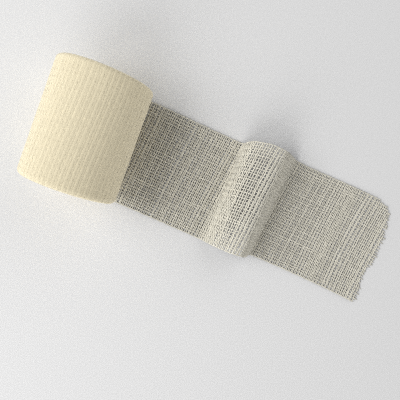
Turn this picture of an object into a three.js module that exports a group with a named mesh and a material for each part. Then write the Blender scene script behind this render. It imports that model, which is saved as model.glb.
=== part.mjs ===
// A cohesive bandage roll: one cut length of elastic gauze, wound up, with its loose end drawn out.
// The loose end leaves the foot of the roll, lies flat, stands up in one pleat, lies flat again
// and ends in a torn edge.
// Millimetres, +Z up. The origin is the middle of the roll's flat spot, on the surface it rests on,
// +X runs along the loose end and +Y across it, from its near selvage to its far one.
import * as THREE from 'three';

// Driving dimensions
const ROLL_WIDTH = 76;
const ROLL_FOOT_RADIUS = 31.9;
const ROLL_EDGE_ROUND = 3;
const ROLL_YAW = THREE.MathUtils.degToRad(4.06);
const REST_FLAT_WIDTH = 8.5;
const CLOTH_WIDTH = 75.4;
const CLOTH_THICKNESS = 1.3;
const CLEARANCE = 0.35;

// How finely the curves are faceted
const TURN_FACETS = 96;
const EDGE_FACETS = 4;
const SPAN_FACETS = 4;

// The loose end, one row for each section across it. near and far are where its selvages run: x, y
// and how high the cloth is raised off the surface. bow is how far the line between them bends
// along x at its middle.
const SECTIONS = [
  { name: 'flat run', near: [30, -37.6, 0], far: [30, 38.1, 0], bow: 0 },
  { name: 'last flat', near: [88, -37.5, 0], far: [91, 38.1, 0], bow: 0 },
  { name: 'left foot', near: [97, -37.5, 1], far: [97.2, 38.4, 0.6], bow: 0 },
  { name: 'left flank', near: [106, -37.2, 8], far: [99.2, 39.6, 9], bow: -1.6 },
  { name: 'left shoulder', near: [114.5, -36.3, 16.5], far: [102.6, 41, 18.5], bow: -3.5 },
  { name: 'crest', near: [120.5, -35.6, 20], far: [112, 43, 22.2], bow: -1.5 },
  { name: 'right shoulder', near: [125.6, -35.1, 19.6], far: [123.2, 43.4, 21.3], bow: 0 },
  { name: 'right flank', near: [131, -34.8, 10.5], far: [132, 43.4, 10.5], bow: 0 },
  { name: 'right foot', near: [135.8, -33.4, 0.6], far: [139.2, 43.3, 0.6], bow: 0 },
  { name: 'flat again', near: [143, -33.1, 0], far: [147, 43, 0], bow: 0 },
  { name: 'last run', near: [198, -33.6, 0], far: [192, 43.7, 0], bow: 0 },
];

// The torn edge, column by column from the near selvage (across 0) to the far one (across 1):
// how far along x each column reaches. The far corner is torn round, so columns crowd there.
const TORN_COLUMNS = [
  { across: 0, reach: 223 },
  { across: 0.07, reach: 223.6 },
  { across: 0.14, reach: 223.3 },
  { across: 0.2, reach: 221 },
  { across: 0.27, reach: 220.2 },
  { across: 0.36, reach: 221.6 },
  { across: 0.43, reach: 224 },
  { across: 0.52, reach: 223.4 },
  { across: 0.6, reach: 222.7 },
  { across: 0.68, reach: 223.5 },
  { across: 0.75, reach: 221.5 },
  { across: 0.81, reach: 222 },
  { across: 0.88, reach: 219.6 },
  { across: 0.93, reach: 218.6 },
  { across: 0.97, reach: 214.6 },
  { across: 1, reach: 206.5 },
];
const TORN_NEAR_Y = -34.9;
const TORN_FAR_Y = 43.2;

const creamCloth = new THREE.MeshStandardMaterial({ color: 0xe3d8ba, roughness: 0.95, metalness: 0 });
const paleCloth = new THREE.MeshStandardMaterial({ color: 0xd0cbb9, roughness: 0.95, metalness: 0 });

// The roll's axis runs at this height, so that its flat spot lies on the surface
const halfFlat = REST_FLAT_WIDTH / 2;
const axisHeight = Math.sqrt(ROLL_FOOT_RADIUS ** 2 - halfFlat ** 2);
const flatHalfAngle = Math.asin(halfFlat / ROLL_FOOT_RADIUS);

function meshGeometry(points, faces) {
  const geometry = new THREE.BufferGeometry();
  const coordinates = points.flatMap((point) => point.toArray());
  geometry.setAttribute('position', new THREE.Float32BufferAttribute(coordinates, 3));
  geometry.setIndex(faces.flat());
  geometry.computeVertexNormals();
  return geometry;
}

// One ring of the wound form. Up the left side, over the top and down the right side the radius
// falls by one turn of cloth, which leaves a step at the foot where the loose end runs out.
function rollRing(y, drop) {
  const ringPoint = (radius, angle) => (
    new THREE.Vector3(-radius * Math.sin(angle), y, axisHeight - radius * Math.cos(angle))
  );
  const turnStep = CLOTH_THICKNESS + CLEARANCE;
  const ring = [];
  for (let k = 0; k <= TURN_FACETS; k += 1) {
    const turned = k / TURN_FACETS;
    const angle = THREE.MathUtils.lerp(flatHalfAngle, 2 * Math.PI - flatHalfAngle, turned);
    ring.push(ringPoint(ROLL_FOOT_RADIUS - turnStep * turned - drop, angle));
  }
  const flatRightEnd = ringPoint(ROLL_FOOT_RADIUS - drop, -flatHalfAngle);
  ring.push(flatRightEnd);
  return ring;
}

// The wound roll: rings along its axis, with a quarter round at both ends, closed by flat faces
function rollGeometry() {
  const halfWidth = ROLL_WIDTH / 2;
  const stations = [];
  for (let k = 0; k <= EDGE_FACETS; k += 1) {
    const angle = (k / EDGE_FACETS) * (Math.PI / 2);
    const inward = ROLL_EDGE_ROUND * (1 - Math.cos(angle));
    const drop = ROLL_EDGE_ROUND * (1 - Math.sin(angle));
    stations.push({ inward, drop });
  }
  const nearRings = stations.map(({ inward, drop }) => rollRing(inward - halfWidth, drop));
  const farRings = stations.map(({ inward, drop }) => rollRing(halfWidth - inward, drop)).reverse();
  const rings = [...nearRings, ...farRings];
  const perRing = rings[0].length;
  const nearCentre = rings.length * perRing;
  const farCentre = nearCentre + 1;
  const points = [
    ...rings.flat(),
    new THREE.Vector3(0, -halfWidth, axisHeight),
    new THREE.Vector3(0, halfWidth, axisHeight),
  ];
  const faces = [];
  for (let j = 0; j < perRing; j += 1) {
    const next = (j + 1) % perRing;
    for (let start = 0; start < nearCentre - perRing; start += perRing) {
      const [a, b] = [start + j, start + next];
      faces.push([a, b, a + perRing], [b, b + perRing, a + perRing]);
    }
    const lastRing = nearCentre - perRing;
    faces.push([nearCentre, next, j], [farCentre, lastRing + j, lastRing + next]);
  }
  return meshGeometry(points, faces);
}

// A point of the cloth's middle surface on one section's line from selvage to selvage
function sectionPoint({ near, far, bow }, across) {
  const [x, y, raised] = near.map((value, i) => THREE.MathUtils.lerp(value, far[i], across));
  return new THREE.Vector3(x + bow * 4 * across * (1 - across), y, CLOTH_THICKNESS / 2 + raised);
}

// The first section stands just clear of the roll's step, in line with the roll's own axis
function firstSection() {
  const lineX = (y) => (halfFlat + CLEARANCE) / Math.cos(ROLL_YAW) - y * Math.tan(ROLL_YAW);
  const halfWidth = CLOTH_WIDTH / 2;
  return { near: [lineX(-halfWidth), -halfWidth, 0], far: [lineX(halfWidth), halfWidth, 0], bow: 0 };
}

// One column of the cloth's middle surface: a smooth curve from section to section
function clothColumn({ across, reach }) {
  const torn = { near: [reach, TORN_NEAR_Y, 0], far: [reach, TORN_FAR_Y, 0], bow: 0 };
  const sections = [firstSection(), ...SECTIONS, torn];
  const knots = sections.map((section) => sectionPoint(section, across));
  const curve = new THREE.CatmullRomCurve3(knots, false, 'centripetal');
  const facets = SPAN_FACETS * (sections.length - 1);
  const column = [];
  for (let k = 0; k <= facets; k += 1) {
    const point = curve.getPoint(k / facets);
    point.z = Math.max(point.z, CLOTH_THICKNESS / 2);
    column.push(point);
  }
  return column;
}

// The loose end: its two skins lie half a thickness to either side of the middle surface
function looseEndGeometry() {
  const columns = TORN_COLUMNS.map(clothColumn);
  const rows = columns[0].length;
  const lastRow = rows - 1;
  const lastColumn = columns.length - 1;
  const at = (j, i) => (
    columns[THREE.MathUtils.clamp(j, 0, lastColumn)][THREE.MathUtils.clamp(i, 0, lastRow)]
  );
  const skin = (side) => columns.flatMap((column, j) => column.map((point, i) => {
    const along = at(j, i + 1).clone().sub(at(j, i - 1));
    const crosswise = at(j + 1, i).clone().sub(at(j - 1, i));
    const normal = along.cross(crosswise).normalize();
    const moved = point.clone().addScaledVector(normal, (side * CLOTH_THICKNESS) / 2);
    moved.z = Math.max(moved.z, 0);
    return moved;
  }));
  const points = [...skin(1), ...skin(-1)];
  const under = columns.length * rows;
  const faces = [];
  const addWall = (a, b) => faces.push([a, a + under, b], [b, a + under, b + under]);
  for (let j = 0; j < lastColumn; j += 1) {
    for (let i = 0; i < lastRow; i += 1) {
      const a = j * rows + i;
      const b = a + rows;
      faces.push([a, a + 1, b], [b, a + 1, b + 1]);
      faces.push([under + a, under + b, under + a + 1], [under + b, under + b + 1, under + a + 1]);
    }
    addWall((j + 1) * rows, j * rows);
    addWall(j * rows + lastRow, (j + 1) * rows + lastRow);
  }
  for (let i = 0; i < lastRow; i += 1) {
    addWall(i, i + 1);
    addWall(lastColumn * rows + i + 1, lastColumn * rows + i);
  }
  return meshGeometry(points, faces);
}

const roll = new THREE.Mesh(rollGeometry(), creamCloth);
roll.name = 'roll';
roll.rotation.z = ROLL_YAW;

const looseEnd = new THREE.Mesh(looseEndGeometry(), paleCloth);
looseEnd.name = 'loose_end';

const bandage = new THREE.Group();
bandage.add(roll, looseEnd);

export default bandage;
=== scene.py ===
"""A cohesive bandage roll with its loose end drawn out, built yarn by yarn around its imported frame.

The cloth is an open gauze: weft yarns run from selvage to selvage, warp yarns run along the bandage, and
each passes over and under the other. The loose end and the roll's outer turn are made of these yarns, with
real holes between them. The turns below are one wound band. Lengths are millimetres until a mesh is made.
"""

import logging
import math
from dataclasses import dataclass, field, replace
from enum import Enum

import bpy
import numpy as np
from mathutils import Matrix, Vector


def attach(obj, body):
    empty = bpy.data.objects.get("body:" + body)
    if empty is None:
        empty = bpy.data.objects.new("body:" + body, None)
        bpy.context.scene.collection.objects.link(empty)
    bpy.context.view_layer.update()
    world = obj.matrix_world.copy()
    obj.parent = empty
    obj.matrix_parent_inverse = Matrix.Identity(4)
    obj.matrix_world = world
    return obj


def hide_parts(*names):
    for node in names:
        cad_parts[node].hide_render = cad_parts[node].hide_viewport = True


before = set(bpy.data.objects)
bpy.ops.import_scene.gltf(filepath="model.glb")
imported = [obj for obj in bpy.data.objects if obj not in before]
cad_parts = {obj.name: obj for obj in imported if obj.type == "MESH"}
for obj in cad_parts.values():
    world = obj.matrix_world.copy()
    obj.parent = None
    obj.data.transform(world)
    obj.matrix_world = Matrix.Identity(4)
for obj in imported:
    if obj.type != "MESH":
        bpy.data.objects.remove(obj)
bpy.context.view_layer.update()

LOG = logging.getLogger("bandage")
MM = 0.001
IMAGE_SIDE = 400
WEAVE_ATTRIBUTE = "weave"
TONE_ATTRIBUTE = "tone"

Array = np.ndarray
Colour = tuple[float, float, float]


class Shading(Enum):
    """How a piece's faces are shaded: all smooth, smooth but creased along each yarn's sides, or flat."""

    ROUND = "round"
    CREASED = "creased"
    FLAT = "flat"


def unit(vectors: Array) -> Array:
    """Vectors of the same directions and of length one."""
    return vectors / np.maximum(np.linalg.norm(vectors, axis=-1, keepdims=True), 1e-12)


@dataclass(frozen=True)
class Waver:
    """Gentle random curves, each a sum of sine waves whose length and height shrink together.

    size is about the largest value that a curve reaches. longest is the length of its longest wave in
    millimetres. waves is how many are added, each shorter and lower than the one before by the two ratios.
    """

    size: float
    longest: float
    waves: int
    length_ratio: float = 1.6
    height_ratio: float = 1.25
    length_spread: tuple[float, float] = (0.85, 1.15)
    peak: float = 1.4

    def draw(self, rng: np.random.Generator, rows: int, at: Array) -> Array:
        """Draws one curve for each row.

        A curve is size * sum(height * sin(2 * pi * (at / length + phase))) / sqrt(sum(height^2)) / peak,
        where each wave's length and phase are random.

        Args:
            rng: Source of the random lengths and phases.
            rows: How many curves.
            at: Places along the curve, in millimetres, of shape (places,) or (rows, places).

        Returns:
            Values of shape (rows, places).
        """
        total, weight = 0.0, 0.0
        for k in range(self.waves):
            length = self.longest / self.length_ratio**k * rng.uniform(*self.length_spread, (rows, 1))
            height = 1 / self.height_ratio**k
            total = total + height * np.sin(2 * math.pi * (at / length + rng.uniform(0, 1, (rows, 1))))
            weight += height**2
        return self.size * (total / math.sqrt(weight) / self.peak)


@dataclass
class MeshParts:
    """Surfaces gathered into one mesh: points, faces, and each point's weave coordinate and tone."""

    points: list[Array] = field(default_factory=list)
    quads: list[Array] = field(default_factory=list)
    triangles: list[Array] = field(default_factory=list)
    weave: list[Array] = field(default_factory=list)
    tones: list[Array] = field(default_factory=list)
    count: int = 0

    def add_tubes(
        self, centres: Array, normals: Array, half_width: Array, half_height: Array, sides: int, tones: Array
    ) -> None:
        """Carries an oval along each of several curves and closes both its ends with a fan.

        A ring point lies at: centre + side * half_width * cos(a) + normal * half_height * sin(a), where
        side is at right angles to the curve and to the normal. The weave coordinate of a point is its
        distance along the yarn, how far across it, and how high, both from -1 to 1.

        Args:
            centres: Points of the curves, of shape (curves, samples, 3).
            normals: The cloth's normal at each of them, of the same shape.
            half_width: Half the yarn's width there, broadcast to (curves, samples).
            half_height: Half its height, likewise.
            sides: Points in a ring.
            tones: A random number for each curve, of shape (curves,).
        """
        curves, samples = centres.shape[:2]
        half_width = np.broadcast_to(half_width, (curves, samples))
        half_height = np.broadcast_to(half_height, (curves, samples))
        tangents = unit(np.gradient(centres, axis=1))
        side = unit(np.cross(normals, tangents))
        up = np.cross(tangents, side)
        angle = 2 * math.pi * np.arange(sides) / sides
        rings = (
            centres[:, :, None]
            + side[:, :, None] * (half_width[..., None] * np.cos(angle))[..., None]
            + up[:, :, None] * (half_height[..., None] * np.sin(angle))[..., None]
        )
        steps = np.linalg.norm(np.diff(centres, axis=1, prepend=centres[:, :1]), axis=-1)
        along = np.cumsum(steps, axis=1)
        weave = np.empty(rings.shape)
        weave[..., 0] = along[..., None]
        weave[..., 1] = np.cos(angle)
        # How high a point lies on its yarn; the material turns this into painted shade, darker lower down.
        weave[..., 2] = np.sin(angle)
        ends = centres[:, [0, -1]]
        middle = np.zeros((curves, 2))
        end_weave = np.stack([along[:, [0, -1]], middle, middle], axis=-1)

        ring_points = curves * samples * sides
        index = self.count + np.arange(ring_points).reshape(curves, samples, sides)
        turned = np.roll(index, -1, axis=2)
        quads = np.stack([index[:, :-1], turned[:, :-1], turned[:, 1:], index[:, 1:]], axis=-1)
        hub = self.count + ring_points + 2 * np.arange(curves)[:, None]
        first, last = np.broadcast_to(hub, (curves, sides)), np.broadcast_to(hub + 1, (curves, sides))
        fans = [
            np.stack([first, turned[:, 0], index[:, 0]], axis=-1),
            np.stack([last, index[:, -1], turned[:, -1]], axis=-1),
        ]
        self.points += [rings.reshape(-1, 3), ends.reshape(-1, 3)]
        self.weave += [weave.reshape(-1, 3), end_weave.reshape(-1, 3)]
        self.tones += [np.repeat(tones, samples * sides), np.repeat(tones, 2)]
        self.quads.append(quads.reshape(-1, 4))
        self.triangles += [fan.reshape(-1, 3) for fan in fans]
        self.count += ring_points + 2 * curves

    def add_strip(self, rings: Array, weave: Array, tone: float) -> None:
        """Joins closed rings, one after the other along a path, and closes both ends with a flat fan.

        Args:
            rings: Points of the rings, of shape (samples, sides, 3).
            weave: Their weave coordinates, of the same shape.
            tone: The one tone of the whole strip.
        """
        samples, sides = rings.shape[:2]
        index = self.count + np.arange(samples * sides).reshape(samples, sides)
        turned = np.roll(index, -1, axis=1)
        quads = np.stack([index[:-1], index[1:], turned[1:], turned[:-1]], axis=-1)
        hub = np.zeros(sides - 2, int)
        fan = np.stack([hub, np.arange(2, sides), np.arange(1, sides - 1)], axis=-1)
        self.points.append(rings.reshape(-1, 3))
        self.weave.append(weave.reshape(-1, 3))
        self.tones.append(np.full(samples * sides, tone))
        self.quads.append(quads.reshape(-1, 4))
        self.triangles += [index[0][fan[:, ::-1]], index[-1][fan]]
        self.count += samples * sides

    def make_object(self, name: str, shading: Shading = Shading.ROUND) -> bpy.types.Object:
        """Makes one object of everything gathered, at the origin, in metres.

        Args:
            name: The piece's name.
            shading: How its faces are shaded.

        Returns:
            The new object, linked to the scene.
        """
        points = (np.concatenate(self.points) * MM).astype(np.float32)
        weave_at = np.concatenate(self.weave)
        quads, triangles = np.concatenate(self.quads), np.concatenate(self.triangles)
        corners = np.concatenate([quads.ravel(), triangles.ravel()]).astype(np.int32)
        sizes = np.repeat([4, 3], [len(quads), len(triangles)])
        starts = np.concatenate([[0], np.cumsum(sizes)[:-1]]).astype(np.int32)
        mesh = bpy.data.meshes.new(name)
        mesh.vertices.add(len(points))
        mesh.vertices.foreach_set("co", points.ravel())
        mesh.loops.add(len(corners))
        mesh.loops.foreach_set("vertex_index", corners)
        mesh.polygons.add(len(starts))
        mesh.polygons.foreach_set("loop_start", starts)
        mesh.polygons.foreach_set("use_smooth", np.full(len(starts), shading is not Shading.FLAT))
        weave = mesh.attributes.new(WEAVE_ATTRIBUTE, "FLOAT_VECTOR", "POINT")
        weave.data.foreach_set("vector", weave_at.astype(np.float32).ravel())
        tone = mesh.attributes.new(TONE_ATTRIBUTE, "FLOAT", "POINT")
        tone.data.foreach_set("value", np.concatenate(self.tones).astype(np.float32))
        mesh.update(calc_edges=True)
        if shading is Shading.CREASED:
            edges = np.empty(2 * len(mesh.edges), np.int32)
            mesh.edges.foreach_get("vertices", edges)
            at_side = np.abs(weave_at[:, 1]) > 0.99
            sharp = mesh.attributes.new("sharp_edge", "BOOLEAN", "EDGE")
            sharp.data.foreach_set("value", at_side[edges.reshape(-1, 2)].all(axis=1))
        mesh.validate()
        piece = bpy.data.objects.new(name, mesh)
        bpy.context.scene.collection.objects.link(piece)
        LOG.info("%s: %d triangles", name, 2 * len(quads) + len(triangles))
        return piece


@dataclass(frozen=True)
class SectionRow:
    """One line of the loose end from selvage to selvage.

    near and far are x, y and how high the cloth is raised. bow bends the line along x at its middle.
    stretch is how far the gauze is drawn out on its way here. lead is how far the wefts run ahead of this
    line at the far selvage; where it is None, they lie as the stretch leaves them.
    """

    near: tuple[float, float, float]
    far: tuple[float, float, float]
    bow: float = 0.0
    stretch: float = 1.0
    lead: float | None = None


@dataclass(frozen=True)
class ClothSizes:
    """Sizes of the gauze itself. flat_height is how high its middle lies over what it rests on."""

    width: float = 75.4
    flat_height: float = 0.62
    weft_pitch: float = 1.36
    warps: int = 36
    turn_pitch: float = 1.1


@dataclass(frozen=True)
class RollSizes:
    """Sizes of the wound roll, which are those of its CAD solid."""

    foot_radius: float = 31.9
    half_flat: float = 4.25
    half_width: float = 38.0
    edge_round: float = 3.0
    yaw: float = math.radians(4.06)

    @property
    def axis_height(self) -> float:
        """Height of the roll's axis, at which its flat spot lies on the floor."""
        return math.sqrt(self.foot_radius**2 - self.half_flat**2)


@dataclass
class LooseEndSurface:
    """The middle surface of the loose end, from under the roll's foot to past its torn edge.

    Along each column, a smooth curve passes through every section. A place on the cloth is given by its
    cloth coordinate, the unstretched distance from the roll's foot, and by how far across it lies, from 0
    at the near selvage to 1 at the far one. The grid runs past both selvages by the margin. start is how
    far left of the origin the cloth begins, and lead_power how fast the wefts' lead grows across it.
    """

    cloth: ClothSizes
    roll: RollSizes
    columns: int = 25
    steps: int = 24
    margin: float = 0.012
    start: float = 4.4
    lead_power: float = 1.6
    rows: tuple[SectionRow, ...] = (
        # The flat run up to the pleat's left foot.
        SectionRow((30, -37.6, 0), (30, 38.1, 0), 0, 1.0, 1.5),
        SectionRow((88, -37.5, 0), (91, 38.1, 0), 0, 1.0, 2.0),
        SectionRow((97, -37.5, 1), (97.2, 38.4, 0.6), 0, 1.0, 4.5),
        # The pleat: left flank and shoulder, crest, right shoulder, flank and foot.
        SectionRow((106, -37.2, 8), (99.2, 39.6, 9), -1.6, 0.7),
        SectionRow((114.5, -36.3, 16.5), (102.6, 41, 18.5), -3.5, 1.0),
        SectionRow((120.5, -35.6, 20), (112, 43, 22.2), -1.5, 1.06),
        SectionRow((125.6, -35.1, 19.6), (123.2, 43.4, 21.3), 0, 1.06),
        SectionRow((131, -34.8, 10.5), (132, 43.4, 10.5), 0, 0.62),
        SectionRow((135.8, -33.4, 0.6), (139.2, 43.3, 0.6), 0, 0.66, 3.8),
        # The flat run after it, to past the tear.
        SectionRow((143, -33.1, 0), (147, 43, 0), 0, 0.95, 3.5),
        SectionRow((198, -33.6, 0), (192, 43.7, 0), 0, 0.95, 8.0),
        SectionRow((227, -35, 0), (227, 43.4, 0), 0, 1.1, 4.0),
    )

    def __post_init__(self) -> None:
        """Works out the grid of points, normals and cloth coordinates."""
        rows = (self._foot_row(), *self.rows)
        self.across = np.linspace(-self.margin, 1 + self.margin, self.columns)
        knots = np.stack([self._row_points(row) for row in rows], axis=1)
        spans = len(rows) - 1
        self.param = np.linspace(0, spans, spans * self.steps + 1)
        self.points = self._smooth_curves(knots)
        self.points[..., 2] = np.maximum(self.points[..., 2], self.cloth.flat_height)
        along = np.gradient(self.points, axis=1)
        crosswise = np.gradient(self.points, axis=0)
        self.normals = unit(np.cross(along, crosswise))
        self.cloth_at = self._cloth_coordinates(rows)

    def _foot_row(self) -> SectionRow:
        """The first line, at the left end of the roll's flat spot and in line with the roll's own axis."""
        half = self.cloth.width / 2
        lean = half * math.tan(self.roll.yaw)
        left_end = -self.start / math.cos(self.roll.yaw)
        near, far = (left_end + lean, -half, 0), (left_end - lean, half, 0)
        return SectionRow(near, far, lead=0.0)

    def _row_points(self, row: SectionRow) -> Array:
        """Points on one section's line, of shape (columns, 3): a straight line plus a parabola along x."""
        near, far = np.array(row.near, float), np.array(row.far, float)
        line = near + (far - near) * self.across[:, None]
        line[:, 0] += row.bow * 4 * self.across * (1 - self.across)
        line[:, 2] += self.cloth.flat_height
        return line

    def _smooth_curves(self, knots: Array) -> Array:
        """Draws cubic curves through the knots of each column, with the tangents of a centripetal spline.

        Each span is a Hermite cubic. Its tangents weigh the neighbouring chords by the square root of their
        lengths, which keeps a long flat span from bulging beside a short steep one.

        Args:
            knots: Of shape (columns, sections, 3).

        Returns:
            Points of shape (columns, len(self.param), 3).
        """
        chords = np.diff(knots, axis=1)
        gaps = np.sqrt(np.maximum(np.linalg.norm(chords, axis=-1, keepdims=True), 1e-6))
        speeds = chords / gaps
        tangents = np.empty_like(knots)
        before, after = gaps[:, :-1], gaps[:, 1:]
        tangents[:, 1:-1] = (speeds[:, :-1] * after + speeds[:, 1:] * before) / (before + after)
        tangents[:, 0], tangents[:, -1] = speeds[:, 0], speeds[:, -1]
        span = np.minimum(self.param.astype(int), knots.shape[1] - 2)
        t = (self.param - span)[None, :, None]
        start, end, gap = knots[:, span], knots[:, span + 1], gaps[:, span]
        leave, arrive = tangents[:, span] * gap, tangents[:, span + 1] * gap
        return (
            (2 * t**3 - 3 * t**2 + 1) * start
            + (t**3 - 2 * t**2 + t) * leave
            + (3 * t**2 - 2 * t**3) * end
            + (t**3 - t**2) * arrive
        )

    def _cloth_coordinates(self, rows: tuple[SectionRow, ...]) -> Array:
        """Cloth coordinate at each grid point, of shape (columns, len(self.param)).

        Along a column it grows by arc length / stretch. From one section with a lead to the next, a
        column's growth is scaled to come out at the near selvage's growth less the gain in lead, which
        grows with how far across the column lies, to the power lead_power.
        """
        steps = np.linalg.norm(np.diff(self.points, axis=1, prepend=self.points[:, :1]), axis=-1)
        arcs = np.cumsum(steps, axis=1)
        stops = np.arange(len(rows)) * self.steps
        stretch = np.array([row.stretch for row in rows[1:]])
        growth = np.diff(arcs[:, stops], axis=1) / stretch
        near = int(np.argmin(np.abs(self.across)))
        share = np.clip(self.across, 0, 1) ** self.lead_power
        fixed = [k for k, row in enumerate(rows) if row.lead is not None]
        for first, last in zip(fixed, fixed[1:]):
            wanted = growth[near, first:last].sum() - (rows[last].lead - rows[first].lead) * share
            growth[:, first:last] *= (wanted / growth[:, first:last].sum(axis=1))[:, None]
        at_sections = np.concatenate([np.zeros((self.columns, 1)), np.cumsum(growth, axis=1)], axis=1)
        return np.stack([
            np.interp(arcs[j], arcs[j, stops], at_sections[j]) for j in range(self.columns)
        ])

    def sample(self, cloth_at: Array, across: Array) -> tuple[Array, Array]:
        """Gives points and normals of the middle surface.

        The curve parameter is looked up in the two columns beside each place and blended, and so are the
        grid's points and normals.

        Args:
            cloth_at: Cloth coordinates.
            across: How far across, of the same shape.

        Returns:
            Points and normals, each of that shape with 3 at its end.
        """
        shape = cloth_at.shape
        flat_cloth, flat_across = cloth_at.ravel(), across.ravel()
        looked_up = np.stack([
            np.interp(flat_cloth, self.cloth_at[j], self.param) for j in range(self.columns)
        ])
        column = self._column_at(flat_across)
        low = np.clip(column.astype(int), 0, self.columns - 2)
        mix = np.clip(column - low, 0, 1)
        every = np.arange(flat_cloth.size)
        param = looked_up[low, every] * (1 - mix) + looked_up[low + 1, every] * mix
        place = param * self.steps
        step = np.clip(place.astype(int), 0, len(self.param) - 2)
        part = (place - step)[:, None]
        mix = mix[:, None]

        def blend(grid: Array) -> Array:
            """Blends a grid's four values round each place, first along the cloth and then across it."""
            left = grid[low, step] * (1 - part) + grid[low, step + 1] * part
            right = grid[low + 1, step] * (1 - part) + grid[low + 1, step + 1] * part
            return (left * (1 - mix) + right * mix).reshape(*shape, 3)

        return blend(self.points), unit(blend(self.normals))

    def _column_at(self, across: Array) -> Array:
        """Column number, with its fraction, of each place across."""
        return (across + self.margin) / (1 + 2 * self.margin) * (self.columns - 1)

    def cloth_at_x(self, x: Array, across: Array) -> Array:
        """Cloth coordinate on the last flat run where the cloth reaches x, for arrays of the same shape."""
        columns = np.stack([
            np.interp(x, self.points[j, :, 0], self.cloth_at[j]) for j in range(self.columns)
        ])
        place = self._column_at(across)
        low = np.clip(place.astype(int), 0, self.columns - 2)
        every = np.arange(len(x))
        return columns[low, every] * (1 - place + low) + columns[low + 1, every] * (place - low)


@dataclass
class TurnSurface:
    """The middle surface of the wound cloth, turn by turn, with its edges curled over the roll's ends.

    The cloth coordinate runs from the foot up the left side, over the top and down the right side. The
    radius falls evenly, by one turn pitch each turn, and at the foot the cloth is pressed flat. inset is
    how far the outer turn's middle lies below the roll's surface, curl how far its edge turns over the
    rim, in rim radii, and bow how far its wefts lean back.
    """

    cloth: ClothSizes
    roll: RollSizes
    inset: float = 0.32
    curl: float = 1.05
    bow: float = 3.3

    @property
    def turn_radius(self) -> float:
        """Mean radius of the outer turn."""
        return self.roll.foot_radius - self.cloth.turn_pitch / 2

    @property
    def turn_length(self) -> float:
        """Length of cloth in the outer turn."""
        return 2 * math.pi * self.turn_radius

    def lean_back(self, across: Array) -> Array:
        """How far the wefts lean back at each place across: bow * (smooth step - 0.5)."""
        eased = np.clip(across, 0, 1)
        eased = eased**2 * (3 - 2 * eased)
        return self.bow * (eased - 0.5)

    def sample(self, cloth_at: Array, across: Array) -> tuple[Array, Array]:
        """Gives points and normals of the middle surface of the outer turn.

        The angle is (cloth coordinate + lean) / turn radius. Across, it runs straight, then round the rim.

        Args:
            cloth_at: Cloth coordinates.
            across: How far across, of the same shape.

        Returns:
            Points and normals, each of that shape with 3 at its end.
        """
        angle = (cloth_at + self.lean_back(across)) / self.turn_radius
        rim = self.roll.edge_round
        straight = self.roll.half_width - rim
        arc = (2 * across - 1) * (straight + self.curl * rim)
        turned = np.clip((np.abs(arc) - straight) / rim, 0, None)
        y = np.sign(arc) * (np.minimum(np.abs(arc), straight) + rim * np.sin(turned))
        drop = rim * (1 - np.cos(turned))
        return self.place(angle, y, drop, turned * np.sign(arc))

    def radius(self, angle: Array) -> Array:
        """Radius of the middle of the cloth at an angle from the foot, which may be many turns."""
        return self.roll.foot_radius - self.inset - self.cloth.turn_pitch * angle / (2 * math.pi)

    def place(self, angle: Array, y: Array, drop: Array, lean: Array) -> tuple[Array, Array]:
        """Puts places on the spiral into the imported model's frame.

        A point lies at the radius less drop from the axis, at that angle from straight down. Where that
        would be below the layers that lie flat under the foot, it is lifted onto them.

        Args:
            angle: Angle from the foot, in radians.
            y: Distance along the roll's axis.
            drop: How far the cloth has curled in towards the axis.
            lean: How far the normal leans towards the roll's end, in radians.

        Returns:
            Points and normals, each with 3 at the end of its shape.
        """
        radius = self.radius(angle) - drop
        x, z = -radius * np.sin(angle), self.roll.axis_height - radius * np.cos(angle)
        layer = np.round(angle / (2 * math.pi))
        z = np.maximum(z, self.cloth.flat_height + self.cloth.turn_pitch * layer)
        cos, sin = math.cos(self.roll.yaw), math.sin(self.roll.yaw)
        points = np.stack([x * cos - y * sin, x * sin + y * cos, z], axis=-1)
        out_x = -np.sin(angle) * np.cos(lean)
        out_y = np.sin(lean)
        out_z = -np.cos(angle) * np.cos(lean)
        normals = np.stack([out_x * cos - out_y * sin, out_x * sin + out_y * cos, out_z], axis=-1)
        return points, unit(normals)


@dataclass(frozen=True)
class YarnSizes:
    """Cross-section of one kind of yarn and how it lies in the cloth, in millimetres.

    offset is how far the yarn lies above the cloth's middle. wave is how far it swings over and under the
    yarns that it crosses. wander is how its path strays, and swell how its width does, as a share of it.
    """

    half_width: float
    half_height: float
    wave: float
    offset: float
    wander: Waver
    swell: Waver
    sides: int = 6


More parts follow.
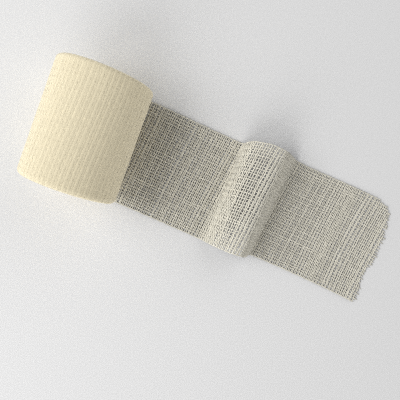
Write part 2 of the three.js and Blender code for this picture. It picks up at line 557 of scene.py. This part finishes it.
@dataclass(frozen=True)
class YarnFinish:
    """Soft matt cotton with a fine twist, a little fuzz and small changes of tone from yarn to yarn.

    painted_shade is how far the colour falls from light to painted_shade_colour down a yarn's sides,
    as painted shade between and under the yarns, which also darkens the holes. mottle and spread are how
    far the tone changes along a yarn and from yarn to yarn. twist is one turn's length in millimetres.
    """

    name: str
    # light is the yarn's own colour at its top; painted_shade_colour is the painted shade that its sides and
    # underside fall to.
    light: Colour
    painted_shade_colour: Colour
    painted_shade: float = 0.4
    mottle: float = 0.3
    mottle_scale: float = 260.0
    mottle_middle: float = 0.6
    spread: float = 0.2
    roughness: float = 0.92
    specular: float = 0.25
    sheen: float = 0.25
    sheen_roughness: float = 0.6
    bump: float = 0.6
    bump_distance: float = 0.0001
    twist: float = 0.6
    twist_slant: float = 2.2
    twist_height: float = 0.25
    fibre_scale: float = 5.0
    fibre_slant: float = 2.4
    fibre_across: float = 1.1
    fibre_shift: float = 60.0
    lump_scale: float = 1500.0
    lump_height: float = 1.6

    def make(self) -> bpy.types.Material:
        """Makes the material.

        The colour is painted shade: it goes from painted_shade_colour to light with how high a point lies on
        its yarn, so that the yarns' sides and undersides, and the holes between them, are painted darker as
        shade. It is then scaled by 1 - spread + spread * tone + mottle * (noise - mottle_middle), where tone
        is the yarn's own and the noise is soft and in the object's space. The bump adds a twist line running
        round the yarn, slanted streaks for its fibres and soft lumps.

        Returns:
            The new material.
        """
        material = bpy.data.materials.new(self.name)
        material.use_nodes = True
        nodes, links = material.node_tree.nodes, material.node_tree.links
        shader = nodes["Principled BSDF"]
        shader.inputs["Roughness"].default_value = self.roughness
        shader.inputs["Specular IOR Level"].default_value = self.specular
        shader.inputs["Sheen Weight"].default_value = self.sheen
        shader.inputs["Sheen Roughness"].default_value = self.sheen_roughness

        def node(kind: str, inputs: dict[int | str, object], **settings: object) -> bpy.types.Node:
            """Adds a node, sets its properties, and links or sets each of these inputs."""
            made = nodes.new(kind)
            for key, value in settings.items():
                setattr(made, key, value)
            for key, value in inputs.items():
                if isinstance(value, bpy.types.NodeSocket):
                    links.new(value, made.inputs[key])
                else:
                    made.inputs[key].default_value = value
            return made

        def math_node(operation: str, *values: object, clamp: bool = False) -> bpy.types.NodeSocket:
            """Adds a math node whose inputs are sockets or numbers, and returns its output."""
            inputs = dict(enumerate(values))
            return node("ShaderNodeMath", inputs, operation=operation, use_clamp=clamp).outputs[0]

        def noise(place: bpy.types.NodeSocket, scale: float, detail: float) -> bpy.types.NodeSocket:
            """Adds a noise texture that is read at a place, and returns its value."""
            inputs = {"Vector": place, "Scale": scale, "Detail": detail}
            return node("ShaderNodeTexNoise", inputs).outputs["Fac"]

        place = node("ShaderNodeTexCoord", {}).outputs["Object"]
        tone = node("ShaderNodeAttribute", {}, attribute_name=TONE_ATTRIBUTE).outputs["Fac"]
        weave = node("ShaderNodeAttribute", {}, attribute_name=WEAVE_ATTRIBUTE).outputs["Vector"]
        along, across, high = node("ShaderNodeSeparateXYZ", {0: weave}).outputs

        # Painted shade: the colour darkens from a yarn's top down its sides to its underside.
        lit = math_node("MULTIPLY_ADD", high, self.painted_shade, 1 - self.painted_shade, clamp=True)
        inputs = {"Factor": lit, "A": (*self.painted_shade_colour, 1), "B": (*self.light, 1)}
        ramp = node("ShaderNodeMix", inputs, data_type="RGBA")
        own = math_node("MULTIPLY", tone, self.spread)
        mottled = math_node("MULTIPLY_ADD", noise(place, self.mottle_scale, 3), self.mottle, own)
        shade = math_node("ADD", mottled, 1 - self.spread - self.mottle_middle * self.mottle)
        inputs = {0: ramp.outputs["Result"], "Scale": shade}
        shaded = node("ShaderNodeVectorMath", inputs, operation="SCALE")
        links.new(shaded.outputs[0], shader.inputs["Base Color"])

        slant = math_node("MULTIPLY", across, self.twist_slant)
        ridge = math_node("SINE", math_node("MULTIPLY_ADD", along, 2 * math.pi / self.twist, slant))
        slant = math_node("MULTIPLY", across, self.fibre_slant)
        inputs = {
            "X": math_node("MULTIPLY_ADD", along, self.fibre_scale, slant),
            "Y": math_node("MULTIPLY", across, self.fibre_across),
            "Z": math_node("MULTIPLY", tone, self.fibre_shift),
        }
        fibres = noise(node("ShaderNodeCombineXYZ", inputs).outputs[0], 1.0, 3)
        rough = math_node("MULTIPLY_ADD", ridge, self.twist_height, fibres)
        height = math_node("MULTIPLY_ADD", noise(place, self.lump_scale, 2), self.lump_height, rough)
        inputs = {"Strength": self.bump, "Distance": self.bump_distance, "Height": height}
        links.new(node("ShaderNodeBump", inputs).outputs["Normal"], shader.inputs["Normal"])
        return material


@dataclass
class LooseEnd:
    """The loose end: an open net of weft and warp yarns on its middle surface, torn off at its end.

    tear is x against how far across, with bites as deep as scallop. fullness is how wide the wefts are
    against x, and spread and flank_fullness widen them where the cloth is drawn out and steep. Wefts move
    together in pairs by pair_shift, more or less as pairing says, singly by jitter and in groups by
    bunching. noise_width is the width in millimetres that their other noise is drawn for.
    """

    cloth: ClothSizes
    surface: LooseEndSurface
    finish: YarnFinish
    weft: YarnSizes = YarnSizes(
        half_width=0.43, half_height=0.33, wave=0.18, offset=0.08,
        wander=Waver(0.17, 22.0, 6), swell=Waver(0.13, 12.0, 4),
    )
    warp: YarnSizes = YarnSizes(
        half_width=0.46, half_height=0.28, wave=0.22, offset=-0.08,
        wander=Waver(0.2, 17.0, 7), swell=Waver(0.18, 6.0, 4),
    )
    tear: tuple[tuple[float, float], ...] = (
        (0, 223), (0.07, 223.6), (0.14, 223.3), (0.2, 221), (0.27, 220.2), (0.36, 221.6), (0.43, 224),
        (0.52, 223.4), (0.6, 222.7), (0.68, 223.5), (0.75, 221.5), (0.81, 222), (0.88, 219.6),
        (0.93, 218.6), (0.97, 214.6), (1, 206.5),
    )
    fullness: tuple[tuple[float, float], ...] = (
        (30, 0.92), (70, 1.0), (100, 1.1), (136, 1.1), (143, 0.84), (155, 0.86), (175, 0.95), (215, 1.06),
    )
    scallop: float = 1.1
    scallops: int = 24
    scallop_seed: int = 5
    flank_fullness: float = 0.5
    spread: float = 1.0
    probe: float = 0.5
    fine_places: int = 401
    shortest_run: int = 12
    samples_per_warp: int = 2
    pair_shift: float = 0.15
    pairing: Waver = Waver(0.8, 40.0, 4)
    jitter: float = 0.06
    bunching: Waver = Waver(0.3, 24.0, 4)
    lift: Waver = Waver(0.03, 9.0, 3)
    noise_width: float = 75.0
    seed: int = 11

    def torn_at(self, across: Array) -> Array:
        """Gives the cloth coordinate of the torn edge: the tear's line less small scallops.

        A scallop's depth is scallop * (0.6 - |sin(0.75 * pi * n)|), where n grows unevenly across.

        Args:
            across: Places across, as an array.

        Returns:
            Cloth coordinates of the same shape.
        """
        stops, reach = np.array(self.tear).T
        even = np.arange(self.scallops) / (self.scallops - 1)
        uneven = np.random.default_rng(self.scallop_seed).uniform(0.6, 1.4, self.scallops)
        number = np.interp(across, even, np.cumsum(uneven))
        bites = self.scallop * (0.6 - np.abs(np.sin(math.pi * 0.75 * number)))
        return self.surface.cloth_at_x(np.interp(across, stops, reach) - bites, across)

    def weft_places(self, rng: np.random.Generator, length: float) -> Array:
        """Cloth coordinate of each weft along a length: even steps, then paired, jittered and bunched."""
        number = np.arange(int(length / self.cloth.weft_pitch))
        places = (number + 0.5) * self.cloth.weft_pitch
        paired = self.pair_shift * (1 + self.pairing.draw(rng, 1, places)[0])
        places = places + paired * np.where(number % 2, 1, -1) + rng.normal(0, self.jitter, number.size)
        return places + self.bunching.draw(rng, 1, places)[0]

    def build_wefts(self) -> bpy.types.Object:
        """Makes the weft yarns, each cut where the tear crosses it.

        A weft's middle lies off the surface by wave * cos(pi * (warp number + weft number)), so that it
        passes over one warp and under the next. Its ends taper, and runs of fewer than shortest_run fine
        places are left out. The stretch is measured over a step of probe.

        Returns:
            The piece.
        """
        rng = np.random.default_rng(self.seed)
        parts, yarn = MeshParts(), self.weft
        fine = np.linspace(-0.004, 1.004, self.fine_places)
        torn = self.torn_at(np.clip(fine, 0, 1))
        gaps = self.cloth.warps - 1
        samples = gaps * self.samples_per_warp + 1
        from_end = np.minimum(np.arange(samples), np.arange(samples)[::-1])
        taper = np.clip(from_end * 0.5 + 0.45, 0, 1)
        for number, place in enumerate(self.weft_places(rng, float(torn.max()))):
            inside = np.flatnonzero(torn > place)
            runs = np.split(inside, np.flatnonzero(np.diff(inside) > 1) + 1)
            for run in runs:
                if len(run) < self.shortest_run:
                    continue
                across = np.linspace(fine[run[0]], fine[run[-1]], samples)[None]
                noise_at = across * self.noise_width
                along = place + yarn.wander.draw(rng, 1, across * self.cloth.width)
                centres, normals = self.surface.sample(along, across)
                ahead, _ = self.surface.sample(along + self.probe, across)
                stretch = np.linalg.norm(ahead - centres, axis=-1) / self.probe
                swing = yarn.wave * np.cos(math.pi * (across * gaps + number))
                lift = yarn.offset + swing + self.lift.draw(rng, 1, noise_at)
                centres = centres + normals * lift[..., None]
                thick = rng.uniform(0.8, 1.2) * (1 + yarn.swell.draw(rng, 1, noise_at))
                thick = thick * (1 + self.spread * np.clip(stretch - 1, 0, 0.5))
                thick = thick * np.interp(centres[..., 0], *np.array(self.fullness).T)
                thick = thick * (1 + self.flank_fullness * np.clip(1 - normals[..., 2], 0, 0.6))
                parts.add_tubes(
                    centres, normals, yarn.half_width * thick * taper, yarn.half_height * taper,
                    yarn.sides, rng.uniform(0, 1, 1),
                )
        return parts.make_object("loose_end_wefts")

    def build_warps(self) -> bpy.types.Object:
        """Makes the warp yarns, from the roll's foot to just past the tear.

        A warp's middle lies off the surface by -wave * cos(pi * (warp number + weft number)), against the
        wefts.

        Returns:
            The piece.
        """
        rng = np.random.default_rng(self.seed + 1)
        parts = MeshParts()
        warps = self.cloth.warps
        across = np.linspace(0.006, 0.994, warps) + rng.uniform(-0.003, 0.003, warps)
        ends = self.torn_at(across) + rng.uniform(0.2, 1.5, warps)
        samples = int(ends.max() / self.cloth.weft_pitch * 2) + 1
        along = np.linspace(0, 1, samples) * ends[:, None]
        sideways = self.warp.wander.draw(rng, warps, along) / self.cloth.width
        centres, normals = self.surface.sample(along, across[:, None] + sideways)
        phase = math.pi * (np.arange(warps)[:, None] + (along / self.cloth.weft_pitch - 0.5))
        centres = centres + normals * (self.warp.offset - self.warp.wave * np.cos(phase))[..., None]
        width = self.warp.half_width * (1 + self.warp.swell.draw(rng, warps, along))
        width = width * rng.uniform(0.85, 1.15, (warps, 1))
        parts.add_tubes(
            centres, normals, width, self.warp.half_height, self.warp.sides, rng.uniform(0, 1, warps)
        )
        return parts.make_object("loose_end_warps")

    def flat_size(self) -> tuple[float, float]:
        """Width and length of the drawn-out cloth before it was torn and laid, in metres."""
        middle = np.array([0.25, 0.5, 0.75])
        return self.cloth.width * MM, float(self.torn_at(middle).mean()) * MM

    def build(self) -> list[bpy.types.Object]:
        wefts, warps = self.build_wefts(), self.build_warps()
        material = self.finish.make()
        for piece in (wefts, warps):
            piece.data.materials.append(material)
            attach(piece, "root")
            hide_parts("loose_end")
        self.flat_size()
        return [wefts, warps]


@dataclass
class WoundRoll:
    """The roll: its outer turn in yarns, over one band that winds on inwards to the middle.

    ridge is how far every second weft stands proud, more or less as ridge_change says. overlap is how far
    the outer turn's yarns run on past its foot. The band ends at heart_radius. Its edges lie back from the
    roll's ends by edge_back, and stray by edge_wander, edge_jitter (by turn) and edge_teeth (by weft).
    """

    cloth: ClothSizes
    surface: TurnSurface
    finish: YarnFinish
    band_finish: YarnFinish
    weft: YarnSizes = YarnSizes(
        half_width=0.92, half_height=0.16, wave=0.04, offset=0.06,
        wander=Waver(0.08, 30.0, 6), swell=Waver(0.05, 12.0, 4),
    )
    warp: YarnSizes = YarnSizes(
        half_width=1.05, half_height=0.14, wave=0.04, offset=-0.02,
        wander=Waver(0.12, 17.0, 7), swell=Waver(0.06, 6.0, 4),
    )
    ridge: float = 0.05
    ridge_change: Waver = Waver(0.5, 40.0, 4)
    weft_pitch: float = 1.57
    pair_shift: float = 0.04
    overlap: float = 6.0
    noise_width: float = 76.0
    heart_radius: float = 2.2
    band_height: float = 0.98
    band_step: float = 0.55
    fine_turns: int = 4000
    edge_back: float = 0.35
    edge_wander: Waver = Waver(0.16, 23.0, 5)
    edge_jitter: float = 0.22
    edge_teeth: float = 0.16
    band_outline: tuple[tuple[int, float, float], ...] = (
        (0, 0.0, -0.6), (0, 0.45, -1.0), (1, -0.45, -1.0), (1, 0.0, -0.6),
        (1, 0.0, 0.6), (1, -0.45, 1.0), (0, 0.45, 1.0), (0, 0.0, 0.6),
    )
    seed: int = 29

    @property
    def outer_length(self) -> float:
        """Length of cloth that is built of yarns."""
        return self.surface.turn_length + self.overlap

    def build_wefts(self) -> bpy.types.Object:
        """Makes the outer turn's wefts, in pairs, each passing over and under the warps.

        A weft's middle lies off the surface by offset + wave * cos(pi * (warp number + weft number)) +
        ridge * cos(pi * weft number).

        Returns:
            The piece.
        """
        rng = np.random.default_rng(self.seed)
        parts = MeshParts()
        number = np.arange(int(self.outer_length / self.weft_pitch))
        count = number.size
        places = (number + 0.5) * self.weft_pitch
        places = places + self.pair_shift * np.where(number % 2, -1, 1) * rng.uniform(0.4, 1.3, count)
        warp_gaps = self.cloth.warps - 1
        samples = warp_gaps * 2 + 1
        across = np.broadcast_to(np.linspace(-0.003, 1.003, samples), (count, samples))
        noise_at = across * self.noise_width
        along = places[:, None] + self.weft.wander.draw(rng, count, noise_at)
        centres, normals = self.surface.sample(along, across)
        swing = self.weft.wave * np.cos(math.pi * (across * warp_gaps + number[:, None]))
        ridges = self.ridge * (1 + self.ridge_change.draw(rng, count, noise_at))
        lift = self.weft.offset + swing + ridges * np.cos(math.pi * number[:, None])
        centres = centres + normals * lift[..., None]
        thick = rng.uniform(0.94, 1.08, (count, 1)) * (1 + self.weft.swell.draw(rng, count, noise_at))
        tones = rng.uniform(0, 0.5, count) + 0.5 * (number % 2 == 0)
        parts.add_tubes(
            centres, normals, self.weft.half_width * thick, self.weft.half_height, self.weft.sides, tones
        )
        return parts.make_object("outer_turn_wefts", Shading.CREASED)

    def build_warps(self) -> bpy.types.Object:
        """Makes the outer turn's warps, which run round the roll against the wefts.

        A warp's middle lies off the surface by offset - wave * cos(pi * (warp number + weft number)).

        Returns:
            The piece.
        """
        rng = np.random.default_rng(self.seed + 1)
        parts = MeshParts()
        warps = self.cloth.warps
        across = np.linspace(0.006, 0.994, warps) + rng.uniform(-0.0022, 0.0022, warps)
        samples = int(self.outer_length / self.weft_pitch * 2.5)
        along = np.broadcast_to(np.linspace(0, self.outer_length, samples), (warps, samples))
        sideways = self.warp.wander.draw(rng, warps, along) / self.cloth.width
        square = along - self.surface.lean_back(across)[:, None]
        centres, normals = self.surface.sample(square, across[:, None] + sideways)
        phase = math.pi * (np.arange(warps)[:, None] + (square / self.weft_pitch - 0.5))
        centres = centres + normals * (self.warp.offset - self.warp.wave * np.cos(phase))[..., None]
        width = self.warp.half_width * (1 + self.warp.swell.draw(rng, warps, along))
        parts.add_tubes(
            centres, normals, width, self.warp.half_height, self.warp.sides, rng.uniform(0, 1, warps)
        )
        return parts.make_object("outer_turn_warps", Shading.CREASED)

    def _band_edges(self, distance: Array, angle: Array) -> list[Array]:
        """Places of the band's near and far edge along the roll's axis, at distances and angles along it.

        They step in where the roll's rim is rounded, and wander in and out a little, as wound selvages do.
        """
        rng = np.random.default_rng(self.seed + 2)
        roll, smoothed, most_turns = self.surface.roll, 41, 64
        depth = roll.foot_radius - self.surface.inset - self.surface.radius(angle)
        inset = np.clip(roll.edge_round - depth, 0, None)
        reach = roll.half_width - roll.edge_round + np.sqrt(roll.edge_round**2 - inset**2)
        turn = (angle / (2 * math.pi)).astype(int)
        teeth = self.edge_teeth * np.cos(2 * math.pi * distance / self.weft_pitch)
        edges = []
        for side in (-1, 1):
            stepped = rng.uniform(-self.edge_jitter, self.edge_jitter, most_turns)[turn]
            jitter = np.convolve(stepped, np.ones(smoothed) / smoothed, mode="same")
            wander = self.edge_wander.draw(rng, 1, distance)[0]
            edges.append(side * (reach - self.edge_back + jitter + wander + teeth))
        return edges

    def build_band(self) -> bpy.types.Object:
        """Makes the turns below as one band: a rounded strip carried along the spiral to the roll's heart.

        Each point of its outline is an edge, a distance from it along the roll's axis, and a height in
        half heights of the band.

        Returns:
            The piece.
        """
        roll = self.surface.roll
        start = 2 * math.pi + self.overlap / roll.foot_radius
        end = 2 * math.pi * (roll.foot_radius - self.heart_radius) / self.cloth.turn_pitch
        turns = np.linspace(start, end, self.fine_turns)
        arcs = np.concatenate([[0], np.cumsum(np.diff(turns) * self.surface.radius(turns)[:-1])])
        distance = np.linspace(0, arcs[-1], int(arcs[-1] / self.band_step))
        angle = np.interp(distance, arcs, turns)
        edges = self._band_edges(distance, angle)
        level = np.zeros_like(angle)
        rings, weave = [], []
        for edge, inward, height in self.band_outline:
            y = edges[edge] + inward
            spot, normal = self.surface.place(angle, y, level, level)
            rings.append(spot + normal * (self.band_height / 2 * height))
            # The height sets the band's painted shade, darker towards its underside.
            weave.append(np.stack([distance, y, np.full_like(y, height)], axis=-1))
        parts = MeshParts()
        parts.add_strip(np.stack(rings, axis=1), np.stack(weave, axis=1), 0.5)
        return parts.make_object("wound_turns", Shading.FLAT)

    def build(self) -> list[bpy.types.Object]:
        """Builds and dresses the outer turn and the band below it."""
        wefts, warps, band = self.build_wefts(), self.build_warps(), self.build_band()
        material, band_material = self.finish.make(), self.band_finish.make()
        for piece in (wefts, warps, band):
            piece.data.materials.append(band_material if piece is band else material)
            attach(piece, "root")
            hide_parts("roll")
        return [wefts, warps, band]


@dataclass(frozen=True)
class SoftLight:
    """One soft square light: its power, its side in metres and where it stands, away from the target.

    The azimuth runs from +X towards +Y and the elevation up from the horizon, both in degrees.
    """

    name: str
    watts: float
    side: float
    azimuth: float
    elevation: float
    away: float = 1.5
    target: tuple[float, float, float] = (0.09, 0.0, 0.0)

    def add(self) -> None:
        """Adds the light, turned to the target."""
        data = bpy.data.lights.new(self.name, "AREA")
        data.energy, data.size = self.watts, self.side
        light = bpy.data.objects.new(self.name, data)
        turn, rise = math.radians(self.azimuth), math.radians(self.elevation)
        level = math.cos(rise)
        direction = Vector((math.cos(turn) * level, math.sin(turn) * level, math.sin(rise)))
        light.location = Vector(self.target) + direction * self.away
        light.rotation_mode = "QUATERNION"
        light.rotation_quaternion = (-direction).to_track_quat("-Z", "Y")
        bpy.context.scene.collection.objects.link(light)


@dataclass
class Studio:
    """Camera, lights and floor.

    The eye is in millimetres, and focal_pixels in pixels of the picture. surround and overhead are the
    world's strength below and above the two surround_heights, each the sine of an elevation.
    """

    eye: tuple[float, float, float] = (58.38, -1.1, 303.2)
    yaw: float = math.radians(24.03)
    pitch: float = math.radians(-3.917)
    roll: float = math.radians(-3.915)
    focal_pixels: float = 420.0
    sensor: float = 36.0
    filter_width: float = 1.1
    floor_reach: float = 1.1
    floor_tone: float = 0.86
    floor_roughness: float = 0.9
    surround: float = 0.95
    overhead: float = 0.02
    surround_heights: tuple[float, float] = (0.1, 0.65)
    lights: tuple[SoftLight, ...] = (
        SoftLight("key", watts=7.4, side=1.0, azimuth=182.0, elevation=43.0),
        SoftLight("second_key", watts=7.4, side=1.0, azimuth=198.0, elevation=43.0),
        SoftLight("fill", watts=5.5, side=1.5, azimuth=60.0, elevation=24.0),
        SoftLight("front", watts=10.5, side=1.2, azimuth=262.0, elevation=33.0),
    )

    def add_camera(self) -> None:
        """Adds the camera, which looks almost straight down on the bandage."""
        data = bpy.data.cameras.new("camera")
        data.sensor_width = self.sensor
        data.lens = self.sensor * self.focal_pixels / IMAGE_SIDE
        data.clip_start, data.clip_end = 0.01, 10
        camera = bpy.data.objects.new("camera", data)
        turn = (
            Matrix.Rotation(self.yaw, 4, "Z")
            @ Matrix.Rotation(self.pitch, 4, "X")
            @ Matrix.Rotation(self.roll, 4, "Y")
        )
        camera.matrix_world = Matrix.Translation(Vector(self.eye) * MM) @ turn
        bpy.context.scene.collection.objects.link(camera)
        bpy.context.scene.camera = camera

    def add_floor(self) -> None:
        """Adds the plain pale floor."""
        mesh = bpy.data.meshes.new("floor")
        reach = self.floor_reach
        corners = [(-reach, -reach, 0), (reach, -reach, 0), (reach, reach, 0), (-reach, reach, 0)]
        mesh.from_pydata(corners, [], [(0, 1, 2, 3)])
        floor = bpy.data.objects.new("floor", mesh)
        bpy.context.scene.collection.objects.link(floor)
        material = bpy.data.materials.new("floor")
        material.use_nodes = True
        shader = material.node_tree.nodes["Principled BSDF"]
        shader.inputs["Base Color"].default_value = (self.floor_tone, self.floor_tone, self.floor_tone, 1)
        shader.inputs["Roughness"].default_value = self.floor_roughness
        mesh.materials.append(material)

    def add_lights(self) -> None:
        """Adds the lights and a low pale surround.

        The surround's strength falls in a straight line from surround to overhead, so that little light
        comes straight down through the holes of the cloth.
        """
        for light in self.lights:
            light.add()
        world = bpy.data.worlds.new("surround")
        world.use_nodes = True
        nodes, links = world.node_tree.nodes, world.node_tree.links
        place, split = nodes.new("ShaderNodeTexCoord"), nodes.new("ShaderNodeSeparateXYZ")
        falloff = nodes.new("ShaderNodeMapRange")
        low, high = self.surround_heights
        ends = {"From Min": low, "From Max": high, "To Min": self.surround, "To Max": self.overhead}
        for name, value in ends.items():
            falloff.inputs[name].default_value = value
        links.new(place.outputs["Generated"], split.inputs[0])
        links.new(split.outputs["Z"], falloff.inputs["Value"])
        links.new(falloff.outputs[0], nodes["Background"].inputs["Strength"])
        nodes["Background"].inputs["Color"].default_value = (1, 1, 1, 1)
        bpy.context.scene.world = world

    def set_view(self) -> None:
        """Shows colours as they are, and keeps each yarn crisp: a narrow pixel filter, no denoising."""
        scene = bpy.context.scene
        scene.view_settings.view_transform = "Standard"
        scene.cycles.use_denoising = False
        scene.cycles.use_light_tree = False
        scene.cycles.filter_width = self.filter_width


def main() -> None:
    """Builds the bandage in order and reports each piece."""
    logging.basicConfig(level=logging.INFO, format="%(name)s: %(message)s")
    studio = Studio()
    studio.add_camera()
    studio.add_floor()
    studio.add_lights()
    studio.set_view()

    cloth, roll = ClothSizes(), RollSizes()
    # The loose end's yarns get a deep painted shade, almost black at their undersides, which darkens the
    # holes in the gauze; the wound yarns and the band get a faint one.
    single = YarnFinish(
        "single_cloth_yarn", light=(0.96, 0.92, 0.785), painted_shade_colour=(0.05, 0.046, 0.037), painted_shade=0.62
    )
    wound = YarnFinish(
        "wound_cloth_yarn", light=(0.88, 0.785, 0.555), painted_shade_colour=(0.62, 0.525, 0.335),
        painted_shade=0.15, mottle=0.12, spread=0.08,
    )
    band = replace(wound, name="wound_band_cloth", light=(0.86, 0.765, 0.54))
    pieces = WoundRoll(cloth, TurnSurface(cloth, roll), wound, band).build()
    pieces += LooseEnd(cloth, LooseEndSurface(cloth, roll), single).build()
    for piece in pieces:
        LOG.info("%s is in place", piece.name)


if __name__ == "__main__":
    main()
